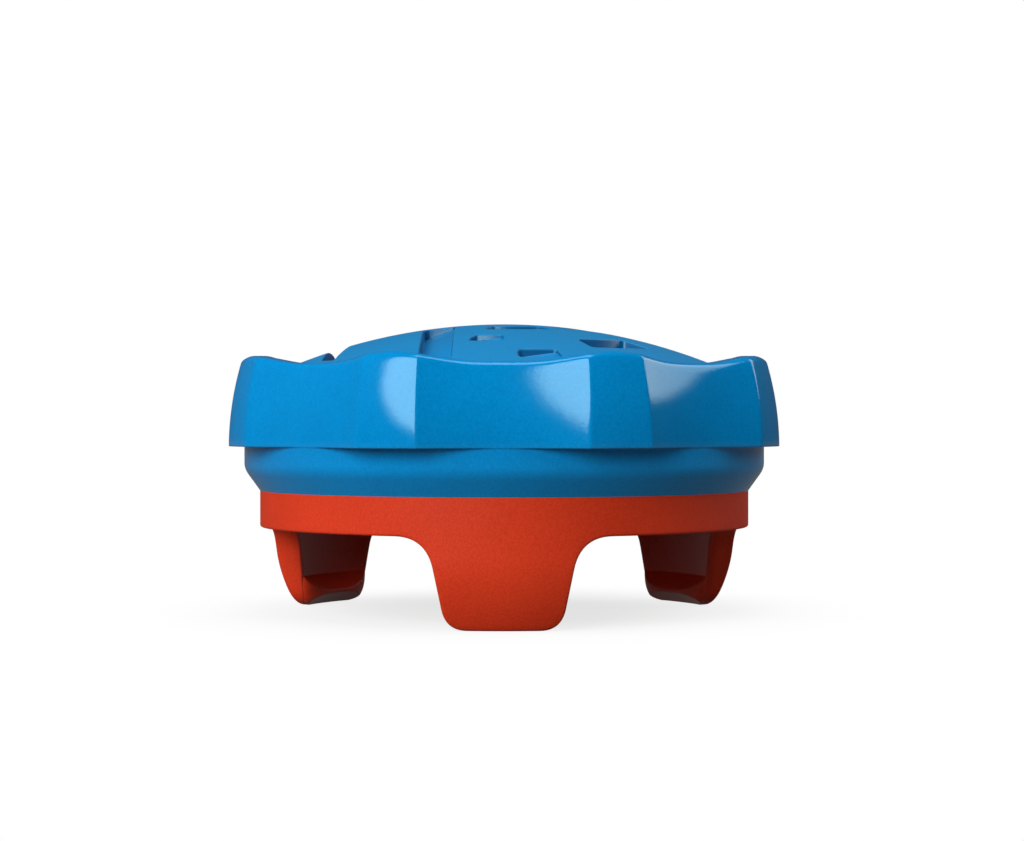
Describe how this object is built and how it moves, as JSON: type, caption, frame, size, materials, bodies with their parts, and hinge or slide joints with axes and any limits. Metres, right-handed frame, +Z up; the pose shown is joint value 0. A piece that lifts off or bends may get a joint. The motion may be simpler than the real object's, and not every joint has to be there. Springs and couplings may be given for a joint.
{
  "type": "controller thumb grip",
  "caption": "Domed, scalloped soft cap moulded onto a rigid ring whose hooked legs snap under the rim of a controller's thumbstick.",
  "frame": {"origin": "on the grip's axis, in the plane that the three feet of the base stand on", "axes": "+Z up through the crown of the dome; one leg points towards -Y"},
  "size_m": [0.0224, 0.0224, 0.012],
  "materials": {
    "cap": "satin thermoplastic elastomer with a fine moulded grain",
    "base": "fine matte grain, glossier on the hooks"
  },
  "bodies": {
    "root": {"soft_cap": "cap", "clip_base": "base"}
  },
  "joints": []
}
